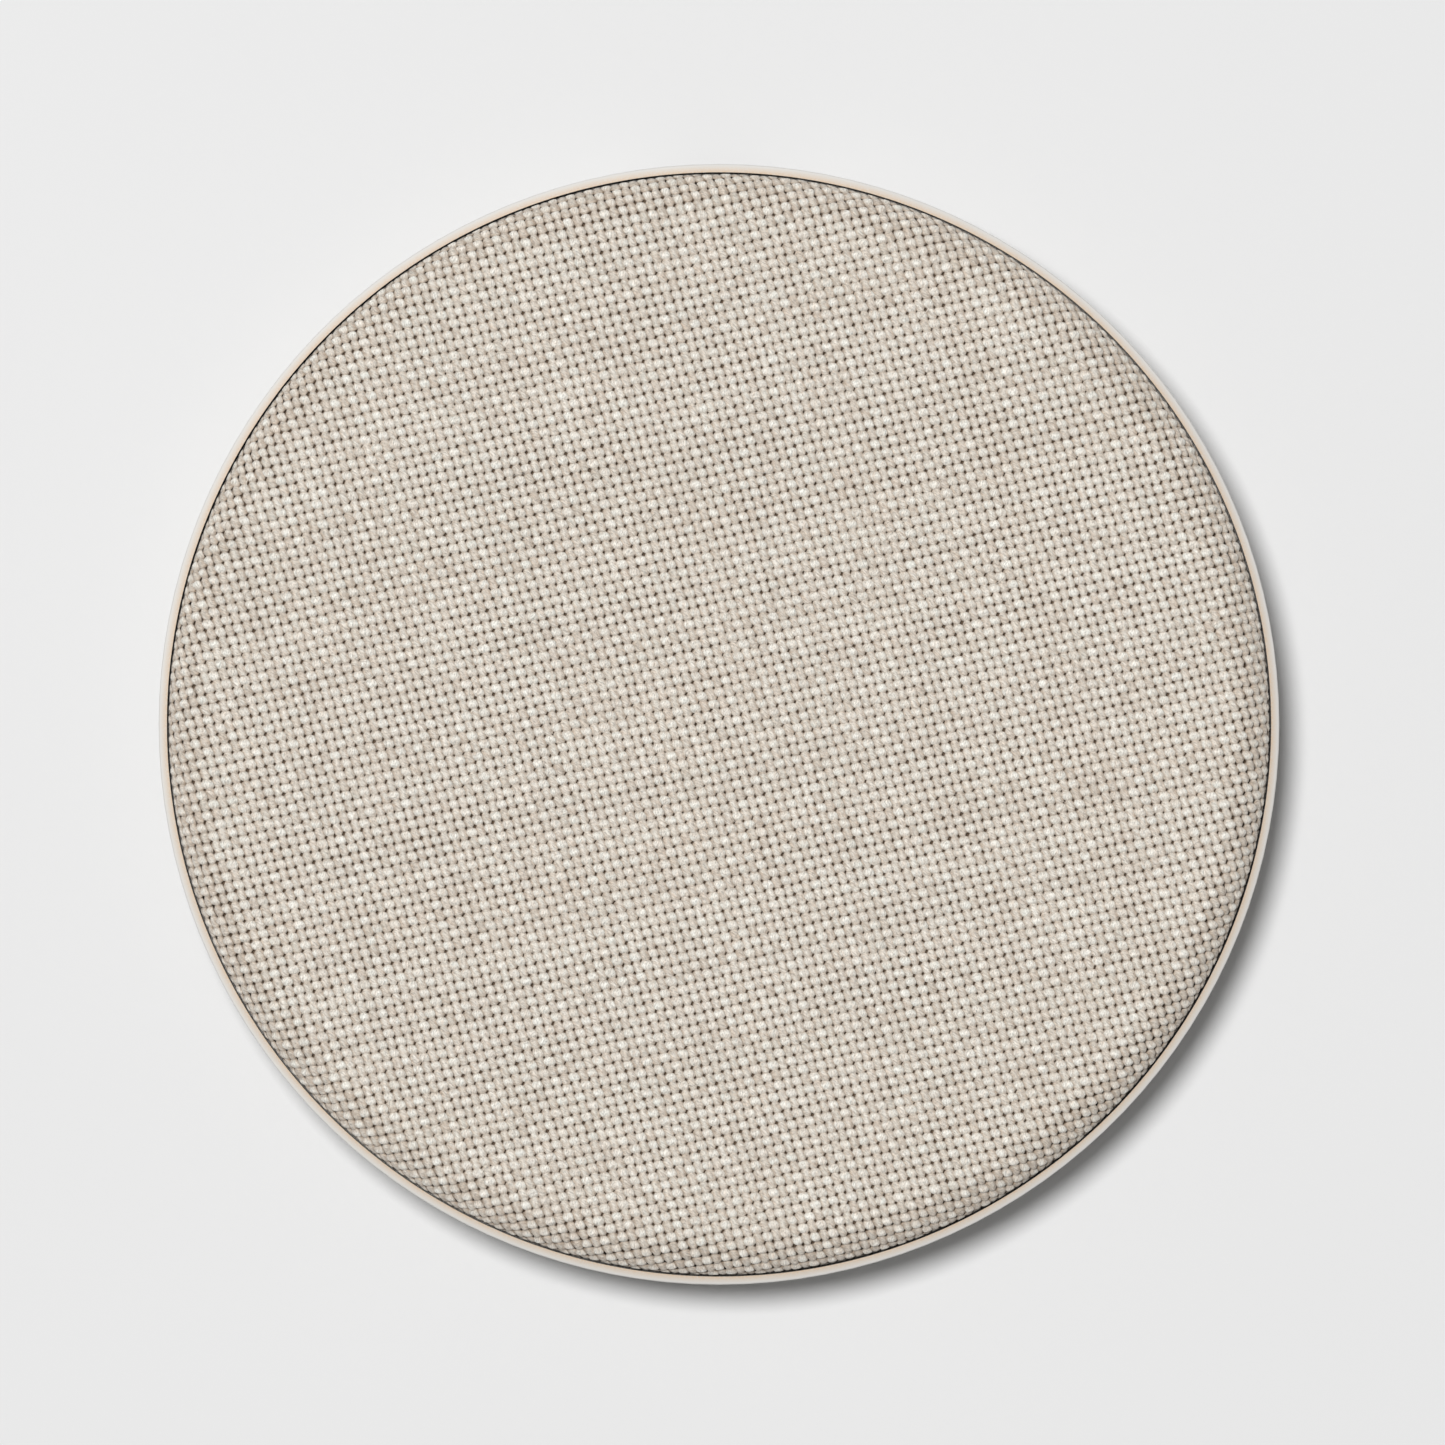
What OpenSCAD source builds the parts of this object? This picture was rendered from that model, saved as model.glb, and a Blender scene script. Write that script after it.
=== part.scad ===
// Wireless charging pad: a round moulded base with a thin rim, and a cloth-covered cap that stands proud of it.
// Origin at the centre of the surface it stands on, +Z up, +Y towards the power inlet at the back.

/* [Body] */
// Outer diameter of the rim
body_d = 100; // [98:1:130]
// Height of the rim's top above the table
body_h = 9; // [8.8:0.1:13]
// Width of the rim's top
rim_w = 0.75; // [0.6:0.05:1.2]
// How far the rim's top falls from its mouth to its outer edge
rim_fall = 0.25; // [0:0.05:0.4]
// Radius of the rim's outer top edge
rim_edge_r = 0.2; // [0.15:0.05:0.5]
// Height of the upright band below the rim's top
belt_h = 1; // [0.6:0.1:1.4]
// How far the side curves in between the rim and the underside
undercut = 3.6; // [3:0.1:5]
// Thickness of the side wall
wall = 1.7; // [1.4:0.1:2.1]
// Thickness of the floor
floor_t = 1.6; // [1.5:0.1:2.2]

/* [Foot] */
// Diameter of the foot ring at the middle of its width
foot_d = 80; // [76:1:82]
// Width of the foot ring
foot_w = 6; // [5:0.1:8]
// How far the foot stands below the underside
foot_proud = 0.8; // [0.5:0.1:1.2]
// Depth of the groove that holds the foot
foot_groove = 0.7; // [0.5:0.1:0.8]
// Radius of the foot's lower edges
foot_edge_r = 0.3; // [0.1:0.05:0.4]

/* [Cover] */
// Thickness of the cloth
cloth_t = 0.9; // [0.6:0.02:1.2]
// Gap between the cloth and the rim
cover_gap = 0.22; // [0.15:0.01:0.4]
// Height of the cloth face above the rim
crown_h = 2.8; // [2.2:0.1:3.4]
// Radius of the roll from the cloth face to its side
roll_r = 3.2; // [2.6:0.1:3.4]
// Depth of the cap's seat below the rim's top
seat_depth = 1.4; // [1.3:0.1:1.8]
// Width of the cloth turned under the cap
hem_w = 5.5; // [4.5:0.1:5.6]
// Thickness of the cap's plate
plate_t = 1.4; // [1.2:0.1:2]
// Thickness of every adhesive film
tape_t = 0.1; // [0.05:0.01:0.15]

/* [Coil] */
// Diameter of the coil's stranded wire
coil_wire_d = 1.1; // [0.8:0.01:1.4]
// Radius of the innermost turn
coil_in_r = 10.5; // [9:0.5:11]
// Number of turns
coil_turns = 10; // [8:1:11]
// Thickness of the ferrite shield
ferrite_t = 1.2; // [1.2:0.1:1.6]
// Thickness of the foam below the shield
foam_t = 1; // [0.5:0.1:1.5]

/* [Board] */
// Thickness of the circuit board
board_t = 1; // [0.8:0.1:1.2]
// Width of the circuit board from its inner to its outer edge
board_w = 15; // [13:0.5:16]
// Height of the board above the floor
board_lift = 0.8; // [0.6:0.1:1]
// Angle that the board covers
board_angle = 96; // [90:1:110]

/* [Inlet] */
// Width of the inlet's metal shell
usb_w = 8.94; // [8.9:0.01:9.2]
// Height of the inlet's metal shell
usb_h = 3.26; // [3.1:0.01:3.4]
// Length of the inlet's metal shell
usb_l = 7.35; // [7:0.05:7.6]
// Width of the hollow that clears a plug's grip
plug_w = 13; // [12.4:0.1:14]
// Height of the hollow that clears a plug's grip
plug_h = 6; // [5.4:0.1:6]

/* [Screws] */
// Thread diameter of the cap screws
cap_screw_d = 1.96; // [1.8:0.02:2.2]
// Thread diameter of the board screws
board_screw_d = 1.56; // [1.4:0.02:1.6]

/* [Hidden] */
$fn = 96;
// how far a cut runs past a face
over = 1;

// Base
body_r = body_d / 2;
belt_z = body_h - belt_h;
floor_z = foot_proud + floor_t;
side_drop = belt_z - foot_proud;
side_r = (side_drop * side_drop + undercut * undercut) / (2 * undercut);
side_x = body_r - side_r;
mouth_r = body_r - rim_w;
seat_z = body_h - seat_depth;
label_r = 16;
label_depth = 0.15;
rib_count = 24;
rib_w = 1.2;
rib_reach = 3;
// angle each side of the inlet that is kept free of ribs
inlet_half_angle = 16;

// Foot
foot_gap = 0.15;
foot_r = foot_d / 2;
groove_z = foot_proud + foot_groove;

// Cap
cloth_r = mouth_r - cover_gap;
face_z = body_h + crown_h;
hem_r = min(cloth_t, crown_h + seat_depth - roll_r);
hem_in_r = cloth_r - hem_w;
carrier_r = cloth_r - cloth_t;
cloth_under_z = face_z - cloth_t;
carrier_roll_r = roll_r - cloth_t;
skirt_z = seat_z + cloth_t + tape_t;
skirt_in_r = hem_in_r - 0.3;
film_r = carrier_r - carrier_roll_r - 0.5;
plate_z = cloth_under_z - tape_t - plate_t;
stiffener_count = 12;
stiffener_h = 0.6;
stiffener_w = 1;
stiffener_bite = 0.15;

// Coil stack, hung under the plate
turn_gap = 0.05;
turn_pitch = coil_wire_d + turn_gap;
half_turns = 2 * coil_turns;
coil_end_r = coil_in_r + half_turns * turn_pitch / 2;
coil_top_z = plate_z - tape_t;
coil_mid_z = coil_top_z - coil_wire_d / 2;
ferrite_top_z = coil_top_z - coil_wire_d - tape_t;
ferrite_z = ferrite_top_z - ferrite_t;
ferrite_r = coil_end_r + coil_wire_d / 2 + 0.5;
ferrite_slot_w = 4;
fence_gap = 0.2;
fence_w = 1;
fence_z = ferrite_top_z - 0.8;
fence_in_r = ferrite_r + fence_gap;
fence_notch_w = 12;
foam_z = ferrite_z - foam_t;
foam_in_r = 11.5;
foam_out_r = 20;
pedestal_w = 1.5;
pedestal_inset = 0.5;

// Board
board_gap = 0.8;
board_z = floor_z + board_lift;
board_top_z = board_z + board_t;
board_out_r = inner_r(board_z) - board_gap;
board_in_r = board_out_r - board_w;
board_screw_inset = 3;
board_screw_angles = [54, 102, 126];

// Inlet
usb_gap = 0.12;
usb_wall = 0.3;
usb_z = board_top_z;
usb_low_r = outer_r(usb_z - usb_h / 2);
mouth_y = sqrt(usb_low_r * usb_low_r - usb_w * usb_w / 4) - 0.1;
usb_back_y = mouth_y - usb_l;
port_block_w = plug_w + 3.6;
port_block_t = 3;
usb_flange_w = 1;
usb_flange_l = 2.2;
usb_flange_t = 0.3;
tongue_w = 6.69;
tongue_t = 0.7;
tongue_back_l = 1.4;
tongue_set_back = 0.9;
contact_count = 12;
contact_pitch = 0.5;
contact_w = 0.25;
contact_l = 3.6;
contact_t = 0.05;

// Indicator
pipe_x = port_block_w / 2 + 1.5;
pipe_r = 0.75;
pipe_gap = 0.05;
led_w = 1.6;
led_l = 0.8;
led_h = 0.9;
led_y = sqrt(board_out_r * board_out_r - pipe_x * pipe_x) - led_l - 0.4;
pipe_y = led_y + led_l + 0.1;
pipe_z = board_top_z + pipe_r + pipe_gap;

// Screws
thread_gap = 0.02;
cap_screw_r = cap_screw_d / 2;
cap_head_r = 1.75;
cap_head_h = 1.1;
cap_screw_l = 6;
cap_screw_angles = [30, 150, 270];
cap_seat_z = groove_z + cap_head_h + 0.2;
cap_seat_t = 1;
cap_boss_r = 3.2;
cap_boss_z = cap_seat_z + cap_seat_t;
carrier_boss_r = 2.4;
carrier_boss_gap = 0.1;
board_screw_r = board_screw_d / 2;
board_head_r = 1.4;
board_head_h = 0.8;
board_screw_l = 2.6;
board_boss_r = 1.9;

// Leads
lead_x = 1.2;
lead_out_x = -3.5;
lead_gap = 0.08;
lead_z = ferrite_top_z + tape_t - coil_wire_d / 2 - lead_gap;
lead_end_y = board_in_r + 2.6;
lead_end_z = board_top_z + coil_wire_d / 2;
coil_turn = acos(lead_x / coil_in_r);
bead_r = 1;
sense_wire_d = 0.5;

// Radius of the outer surface of the side at height z
function outer_r(z) = side_x + sqrt(side_r * side_r - (belt_z - z) * (belt_z - z));
// Radius of the inner surface of the side at height z
function inner_r(z) = side_x + sqrt((side_r - wall) * (side_r - wall) - (belt_z - z) * (belt_z - z));
// The point at radius r and angle a, at height z
function polar(r, a, z) = [r * cos(a), r * sin(a), z];

// Half section of a disc with rounded upper and lower edges
module slab(r, low_z, high_z, low_r, high_r) {
  difference() {
    translate([0, low_z]) square([r, high_z - low_z]);
    if (high_r > 0) translate([r - high_r, high_z - high_r]) corner(high_r);
    if (low_r > 0) translate([r - low_r, low_z + low_r]) mirror([0, 1]) corner(low_r);
  }
}

// What a round edge of radius r takes off a square corner
module corner(r) {
  difference() {
    square([r + over, r + over]);
    circle(r);
  }
}

module ring(in_r, out_r, low_z, high_z) {
  translate([0, 0, low_z]) difference() {
    cylinder(r = out_r, h = high_z - low_z);
    translate([0, 0, -over]) cylinder(r = in_r, h = high_z - low_z + 2 * over);
  }
}

// Children extruded along Y from y
module along_y(y, length) {
  translate([0, y + length, 0]) rotate([90, 0, 0]) linear_extrude(length) children();
}

module obround(w, h) {
  square([w - h, h], center = true);
  for (side = [-1, 1]) translate([side * (w - h) / 2, 0]) circle(d = h);
}

// Round wire along a list of points
module wire(points, d) {
  for (i = [0 : len(points) - 2]) hull()
    for (point = [points[i], points[i + 1]]) translate(point) sphere(d = d, $fn = 12);
}

// Screw with its head's inner face at z 0, its head below and its thread above
module screw(thread_r, head_r, head_h, length) {
  difference() {
    union() {
      cylinder(r = thread_r, h = length);
      translate([0, 0, -head_h]) cylinder(r = head_r, h = head_h);
    }
    for (turn = [0, 90]) rotate([0, 0, turn])
      translate([-head_r * 0.6, -head_r * 0.13, -head_h - over])
        cube([head_r * 1.2, head_r * 0.26, head_h * 0.6 + over]);
  }
}

module at_cap_screws() {
  for (a = cap_screw_angles) translate(polar(foot_r, a, 0)) children();
}

module at_board_screws() {
  for (a = board_screw_angles) translate(polar(board_in_r + board_screw_inset, a, 0)) children();
}

// Children on the board's top, at an angle and a distance out from its inner edge
module on_board(angle, offset) {
  rotate([0, 0, angle - 90]) translate([0, board_in_r + offset, board_top_z]) children();
}

// A block on the board, centred across and along
module block(w, l, h) {
  translate([-w / 2, -l / 2, 0]) cube([w, l, h]);
}

// The sloping top of the rim, down to where it meets the round of the edge
module rim_top() {
  round_at = [body_r - rim_edge_r, body_h - rim_fall - rim_edge_r];
  reach = round_at - [mouth_r, body_h];
  slope = acos(rim_edge_r / norm(reach)) - atan2(reach.x, -reach.y);
  polygon([
    [0, round_at.y],
    [0, body_h],
    [mouth_r, body_h],
    round_at + rim_edge_r * [sin(slope), cos(slope)],
    round_at
  ]);
}

module base_form() {
  rotate_extrude() difference() {
    union() {
      slab(body_r, foot_proud, body_h - rim_fall, 0, rim_edge_r);
      rim_top();
    }
    translate([side_x, belt_z]) mirror([0, 1]) difference() {
      square([side_r + over, side_drop + over]);
      circle(side_r);
    }
  }
}

// The space inside a skin of this thickness, below the cap's seat
module inner_form(skin, low_z) {
  rotate_extrude() {
    translate([0, low_z]) square([side_x, seat_z - low_z]);
    intersection() {
      translate([side_x, belt_z]) circle(side_r - skin);
      translate([0, low_z]) square([body_r, seat_z - low_z]);
    }
  }
}

// Gussets inside the wall that carry the cap's turned-under cloth
module rest_ribs() {
  intersection() {
    inner_form(wall / 2, floor_z - floor_t / 2);
    for (i = [0 : rib_count - 1]) {
      a = (i + 0.5) * 360 / rib_count;
      if (abs(a - 90) > inlet_half_angle) rotate([0, 0, a])
        translate([cloth_r - rib_reach, -rib_w / 2, 0]) cube([rib_reach + over, rib_w, seat_z]);
    }
  }
}

// Thick part of the wall around the inlet
module port_block() {
  intersection() {
    inner_form(wall / 2, floor_z - floor_t / 2);
    translate([-port_block_w / 2, mouth_y - port_block_t, 0])
      cube([port_block_w, port_block_t + wall * 2, seat_z]);
  }
}

// Two rings and their webs that press the foam against the coil's shield
module pedestal() {
  low_z = floor_z - floor_t / 2;
  in_r = foam_in_r + pedestal_inset;
  out_r = foam_out_r - pedestal_inset;
  ring(in_r, in_r + pedestal_w, low_z, foam_z);
  ring(out_r - pedestal_w, out_r, low_z, foam_z);
  for (a = [0 : 90 : 270]) rotate([0, 0, a])
    translate([in_r + pedestal_w / 2, -rib_w / 2, low_z])
      cube([out_r - in_r - pedestal_w, rib_w, foam_z - low_z]);
}

module base_holes() {
  ring(foot_r - foot_w / 2 - foot_gap, foot_r + foot_w / 2 + foot_gap, -over, groove_z);
  translate([0, 0, -over]) cylinder(r = label_r, h = foot_proud + label_depth + over);
  at_cap_screws() {
    cylinder(r = cap_head_r + foot_gap, h = cap_seat_z);
    cylinder(r = cap_screw_r + 0.15, h = cap_boss_z + over);
  }
  at_board_screws() translate([0, 0, board_top_z - board_screw_l - 0.1])
    cylinder(r = board_screw_r + thread_gap, h = board_screw_l);
  translate([0, 0, usb_z]) along_y(mouth_y - port_block_t - over, port_block_t + 2 * over)
    obround(usb_w + 2 * usb_gap, usb_h + 2 * usb_gap);
  translate([0, 0, usb_z]) along_y(mouth_y, body_r) obround(plug_w, plug_h);
  translate([pipe_x, 0, pipe_z]) along_y(pipe_y, body_r) circle(pipe_r + pipe_gap);
}

module base_shell() {
  color([0.87, 0.81, 0.74]) difference() {
    union() {
      difference() {
        base_form();
        inner_form(wall, floor_z);
        translate([0, 0, seat_z]) cylinder(r = mouth_r, h = seat_depth + over);
      }
      rest_ribs();
      port_block();
      pedestal();
      at_cap_screws() translate([0, 0, floor_z - floor_t / 2])
        cylinder(r = cap_boss_r, h = cap_boss_z - floor_z + floor_t / 2);
      at_board_screws() translate([0, 0, floor_z - floor_t / 2])
        cylinder(r = board_boss_r, h = board_lift + floor_t / 2);
    }
    base_holes();
  }
}

module foot_ring() {
  color([0.62, 0.59, 0.55]) rotate_extrude() difference() {
    translate([foot_r - foot_w / 2, 0]) square([foot_w, groove_z - tape_t]);
    translate([foot_r + foot_w / 2 - foot_edge_r, foot_edge_r]) mirror([0, 1]) corner(foot_edge_r);
    translate([foot_r - foot_w / 2 + foot_edge_r, foot_edge_r]) mirror([1, 0]) mirror([0, 1])
      corner(foot_edge_r);
  }
}

module foot_tape() {
  color([0.9, 0.88, 0.8])
    ring(foot_r - foot_w / 2, foot_r + foot_w / 2, groove_z - tape_t, groove_z);
}

module base_label() {
  color([0.82, 0.8, 0.77]) translate([0, 0, foot_proud + label_depth - tape_t])
    cylinder(r = label_r - foot_gap, h = tape_t);
}

module top_carrier() {
  boss_z = cap_boss_z + carrier_boss_gap;
  color([0.8, 0.79, 0.76]) difference() {
    union() {
      rotate_extrude() difference() {
        slab(carrier_r, skirt_z, cloth_under_z, 0, carrier_roll_r);
        translate([0, skirt_z - over]) square([skirt_in_r, plate_z - skirt_z + over]);
        translate([0, cloth_under_z - tape_t]) square([film_r, tape_t + over]);
      }
      difference() {
        ring(fence_in_r, fence_in_r + fence_w, fence_z, plate_z + plate_t / 2);
        translate([-fence_notch_w / 2, 0, fence_z - over])
          cube([fence_notch_w, ferrite_r * 2, plate_z - fence_z + over]);
      }
      at_cap_screws() translate([0, 0, boss_z])
        cylinder(r = carrier_boss_r, h = plate_z + plate_t / 2 - boss_z);
      for (i = [0 : stiffener_count - 1]) rotate([0, 0, (i + 0.5) * 360 / stiffener_count])
        translate([fence_in_r + fence_w / 2, -stiffener_w / 2, plate_z - stiffener_h])
          cube([skirt_in_r + stiffener_bite - fence_in_r - fence_w / 2, stiffener_w, stiffener_h + plate_t / 2]);
    }
    at_cap_screws() translate([0, 0, boss_z - over])
      cylinder(r = cap_screw_r + thread_gap, h = cap_seat_z + cap_screw_l + 0.2 - boss_z + over);
  }
}

module cover_adhesive() {
  color([0.93, 0.91, 0.83]) translate([0, 0, cloth_under_z - tape_t])
    cylinder(r = film_r, h = tape_t);
}

module fabric_cover() {
  color([0.78, 0.74, 0.68]) rotate_extrude() difference() {
    slab(cloth_r, seat_z, face_z, hem_r, roll_r);
    slab(carrier_r, seat_z + cloth_t, cloth_under_z, 0, carrier_roll_r);
    translate([0, seat_z - over]) square([hem_in_r, cloth_t + 2 * over]);
  }
}

module hem_tape() {
  color([0.93, 0.91, 0.83]) ring(hem_in_r + 0.3, carrier_r - 1, skirt_z - tape_t, skirt_z);
}

module cap_screws() {
  color([0.72, 0.72, 0.73]) at_cap_screws() translate([0, 0, cap_seat_z])
    screw(cap_screw_r, cap_head_r, cap_head_h, cap_screw_l);
}

module coil_adhesive() {
  color([0.93, 0.91, 0.83])
    ring(coil_in_r - coil_wire_d / 2, coil_end_r + coil_wire_d / 2, coil_top_z, plate_z);
}

// A spiral of half turns, each half a pitch wider than the last, with centres that alternate
module charging_coil() {
  color([0.72, 0.45, 0.28]) rotate([0, 0, coil_turn]) for (i = [0 : half_turns - 1])
    translate([(i % 2) * turn_pitch / 2, 0, coil_mid_z]) rotate([0, 0, (i % 2) * 180])
      rotate_extrude(angle = 180) translate([coil_in_r + i * turn_pitch / 2, 0])
        circle(d = coil_wire_d);
}

// Slot through the foam and the shield for the lead that leaves from inside the coil
module lead_slot() {
  translate([-ferrite_slot_w / 2, -ferrite_slot_w / 2, foam_z - over])
    cube([ferrite_slot_w, ferrite_r * 2, foam_t + ferrite_t + tape_t + 2 * over]);
}

module ferrite_adhesive() {
  color([0.93, 0.91, 0.83]) difference() {
    translate([0, 0, ferrite_top_z]) cylinder(r = ferrite_r, h = tape_t);
    lead_slot();
  }
}

module ferrite_shield() {
  color([0.2, 0.2, 0.21]) difference() {
    translate([0, 0, ferrite_z]) cylinder(r = ferrite_r, h = ferrite_t);
    lead_slot();
  }
}

module foam_pad() {
  color([0.25, 0.25, 0.26]) difference() {
    ring(foam_in_r, foam_out_r, foam_z, ferrite_z);
    lead_slot();
  }
}

module coil_leads() {
  inner_y = sqrt(coil_in_r * coil_in_r - lead_x * lead_x) - coil_wire_d;
  outer_start = polar(coil_end_r, coil_turn, coil_mid_z) + polar(coil_wire_d / 2, coil_turn + 90, 0);
  bend = outer_start + polar(3, coil_turn + 90, 0);
  inner_route = [
    [lead_x, inner_y, coil_mid_z],
    [lead_x, inner_y - 1.2, lead_z],
    [lead_x, ferrite_r + 3, lead_z],
    [lead_x, lead_end_y - 1.8, lead_end_z],
    [lead_x, lead_end_y, lead_end_z]
  ];
  outer_route = [
    outer_start,
    bend,
    [lead_out_x + 0.3, bend.y + 2.2, coil_mid_z],
    [lead_out_x, ferrite_r + 4, lead_z],
    [lead_out_x, lead_end_y - 1.8, lead_end_z],
    [lead_out_x, lead_end_y, lead_end_z]
  ];
  color([0.45, 0.2, 0.12]) {
    wire(inner_route, coil_wire_d);
    wire(outer_route, coil_wire_d);
  }
}

module thermistor() {
  bead_z = coil_top_z - bead_r;
  color([0.16, 0.16, 0.16]) {
    translate([0, 0, bead_z]) sphere(bead_r, $fn = 16);
    for (x = [-0.4, -1.4]) wire([
      [x / 3, 0, bead_z],
      [x, bead_r * 2, lead_z],
      [x, ferrite_r + 3, lead_z],
      [x, lead_end_y - 1.8, board_top_z + sense_wire_d / 2],
      [x, lead_end_y, board_top_z + sense_wire_d / 2]
    ], sense_wire_d);
  }
}

module circuit_board() {
  far = 2 * board_out_r;
  edge = board_angle / 2;
  color([0.1, 0.33, 0.2]) translate([0, 0, board_z]) linear_extrude(board_t) difference() {
    circle(board_out_r);
    circle(board_in_r);
    polygon([[0, 0], far * [sin(edge), cos(edge)], [far, -far], [-far, -far], far * [-sin(edge), cos(edge)]]);
    translate([-port_block_w / 2 - 0.2, mouth_y - port_block_t - 0.2]) square([port_block_w + 0.4, far]);
    translate([-usb_w / 2 - usb_gap, usb_back_y - usb_gap]) square([usb_w + 2 * usb_gap, far]);
    at_board_screws() circle(board_screw_r + 0.1);
  }
}

module board_screws() {
  color([0.72, 0.72, 0.73]) at_board_screws() translate([0, 0, board_top_z]) mirror([0, 0, 1])
    screw(board_screw_r, board_head_r, board_head_h, board_screw_l);
}

module usb_shell() {
  color([0.75, 0.75, 0.76]) {
    translate([0, 0, usb_z]) along_y(usb_back_y, usb_l) difference() {
      obround(usb_w, usb_h);
      obround(usb_w - 2 * usb_wall, usb_h - 2 * usb_wall);
    }
    for (side = [0, 1]) mirror([side, 0, 0])
      translate([usb_w / 2 - usb_wall / 2, usb_back_y + 0.6, usb_z])
        cube([usb_flange_w + usb_wall / 2 + usb_gap, usb_flange_l, usb_flange_t]);
  }
}

module usb_tongue() {
  color([0.12, 0.12, 0.13]) translate([0, 0, usb_z]) {
    along_y(usb_back_y, tongue_back_l) obround(usb_w - 2 * usb_wall, usb_h - 2 * usb_wall);
    along_y(usb_back_y + tongue_back_l / 2, usb_l - tongue_back_l / 2 - tongue_set_back)
      square([tongue_w, tongue_t], center = true);
  }
}

module usb_contacts() {
  first_x = -(contact_count - 1) * contact_pitch / 2;
  color([0.85, 0.68, 0.33]) for (side = [0, 1], i = [0 : contact_count - 1])
    translate([first_x + i * contact_pitch - contact_w / 2, usb_back_y + tongue_back_l, usb_z])
      mirror([0, 0, side]) translate([0, 0, tongue_t / 2]) cube([contact_w, contact_l, contact_t]);
}

module controller_chip() {
  color([0.13, 0.13, 0.14]) on_board(90, 6.8) block(5, 5, 0.85);
}

module power_chips() {
  color([0.13, 0.13, 0.14]) for (a = [72, 108]) on_board(a, 8) block(3.3, 3.3, 0.9);
}

module resonant_capacitors() {
  color([0.66, 0.5, 0.36]) for (i = [0 : 3]) on_board(61 + i * 4.5, 3) block(1.6, 3.2, 1.6);
}

module filter_inductor() {
  color([0.3, 0.3, 0.31]) on_board(119, 8) block(4.2, 4.2, 2.1);
}

module small_components() {
  color([0.55, 0.45, 0.35]) for (i = [0 : 7], side = [-1, 1])
    on_board(90 + side * (15 + i * 3.6), 12) block(0.8, 1.6, 0.7);
}

module status_led() {
  color([0.95, 0.95, 0.9]) translate([pipe_x - led_w / 2, led_y, board_top_z])
    cube([led_w, led_l, led_h]);
}

module light_pipe() {
  color([0.85, 0.88, 0.9, 0.6]) intersection() {
    base_form();
    translate([pipe_x, 0, pipe_z]) along_y(pipe_y, body_r) circle(pipe_r);
  }
}

base_shell();
foot_ring();
foot_tape();
base_label();
top_carrier();
cover_adhesive();
fabric_cover();
hem_tape();
cap_screws();
coil_adhesive();
charging_coil();
ferrite_adhesive();
ferrite_shield();
foam_pad();
coil_leads();
thermistor();
circuit_board();
board_screws();
usb_shell();
usb_tongue();
usb_contacts();
controller_chip();
power_chips();
resonant_capacitors();
filter_inductor();
small_components();
status_led();
light_pipe();
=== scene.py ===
import math

import bpy
import numpy as np
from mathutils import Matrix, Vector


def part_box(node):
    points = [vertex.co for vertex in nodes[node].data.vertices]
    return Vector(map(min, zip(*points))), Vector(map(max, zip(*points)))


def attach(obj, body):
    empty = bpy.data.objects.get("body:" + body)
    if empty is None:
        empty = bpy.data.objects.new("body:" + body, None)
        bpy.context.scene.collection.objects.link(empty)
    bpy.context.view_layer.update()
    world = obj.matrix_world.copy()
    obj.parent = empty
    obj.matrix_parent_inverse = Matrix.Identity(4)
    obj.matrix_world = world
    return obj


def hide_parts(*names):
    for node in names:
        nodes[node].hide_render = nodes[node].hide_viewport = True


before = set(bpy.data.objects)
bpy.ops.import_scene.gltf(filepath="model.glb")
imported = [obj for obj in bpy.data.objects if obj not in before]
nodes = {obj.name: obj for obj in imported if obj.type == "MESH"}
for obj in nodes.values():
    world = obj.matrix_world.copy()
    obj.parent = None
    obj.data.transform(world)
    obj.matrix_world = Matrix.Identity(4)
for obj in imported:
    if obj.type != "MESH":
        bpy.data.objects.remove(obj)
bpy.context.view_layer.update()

MM = 0.001
BODY = "root"
COVER_GAP = 0.22 * MM

# Sizes that come with the frame
rim_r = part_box("base_shell")[1].x
rim_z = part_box("base_shell")[1].z
cloth_low, cloth_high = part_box("fabric_cover")
cloth_r, face_z, seat_z = cloth_high.x, cloth_high.z, cloth_low.z
cloth_t = cloth_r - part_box("top_carrier")[1].x
mouth_r = cloth_r + COVER_GAP

# How the cloth goes over the cap: flat, then a roll, then down the side and turned under
ROLL_W = 3.6 * MM
ROLL_H = 3.2 * MM
HEM_W = 5.5 * MM
MIDDLE_DEPTH = 0.49 * MM
BACKING_DEPTH = 0.70 * MM
flat_r = cloth_r - ROLL_W
roll_z = face_z - ROLL_H

# The weave: two sets of yarns, each with the direction of its wave vector and its pitch
WARP = {"name": "warp", "angle": 16.70, "pitch": 0.820 * MM, "width": 0.97 * MM, "thick": 0.48 * MM,
        "lift": 0.265 * MM, "fullness": 1.30, "waist": 0.43, "lean": -0.075 * MM, "warmth": 0.15, "phase": 0}
WEFT = {"name": "weft", "angle": 102.53, "pitch": 0.929 * MM, "width": 1.20 * MM, "thick": 0.38 * MM,
        "lift": 0.195 * MM, "fullness": 1.25, "waist": 0.41, "lean": -0.065 * MM, "warmth": 0.24, "phase": 1}
# Share of a float's rise by which it has reached its full width
SWELL_BY = 0.55
# The cloth is bent over the roll, so its yarns stand apart there: by how much, and how much painted shade
# that adds
BEND_OPENS = 0.13
BEND_PAINTED_SHADE = 0.13
YARN_BANDS = 6
RINGS_PER_PITCH = 4
# Share of a yarn's row on its texture map that each of its ends takes
END_ROOM = 0.01
# Angles round a yarn's section, close together on the side that shows
SECTION = np.radians([-38, 0, 33, 64, 90, 116, 147, 180, 218])
SQUARENESS = 0.78
TUCK_DEPTH = 0.9 * MM
# The rim's mouth squeezes the side of the cloth, so it is fuller and flatter there
MOUTH_GAP = 0.14 * MM
SIDE_FILL = 0.42 * MM
SIDE_FLATTENS = 0.55
WANDER = 0.05 * MM
STRAY_COUNT = 420
# How far the fibres turn round a spun yarn, in radians a millimetre
TWIST = 1.0
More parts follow.
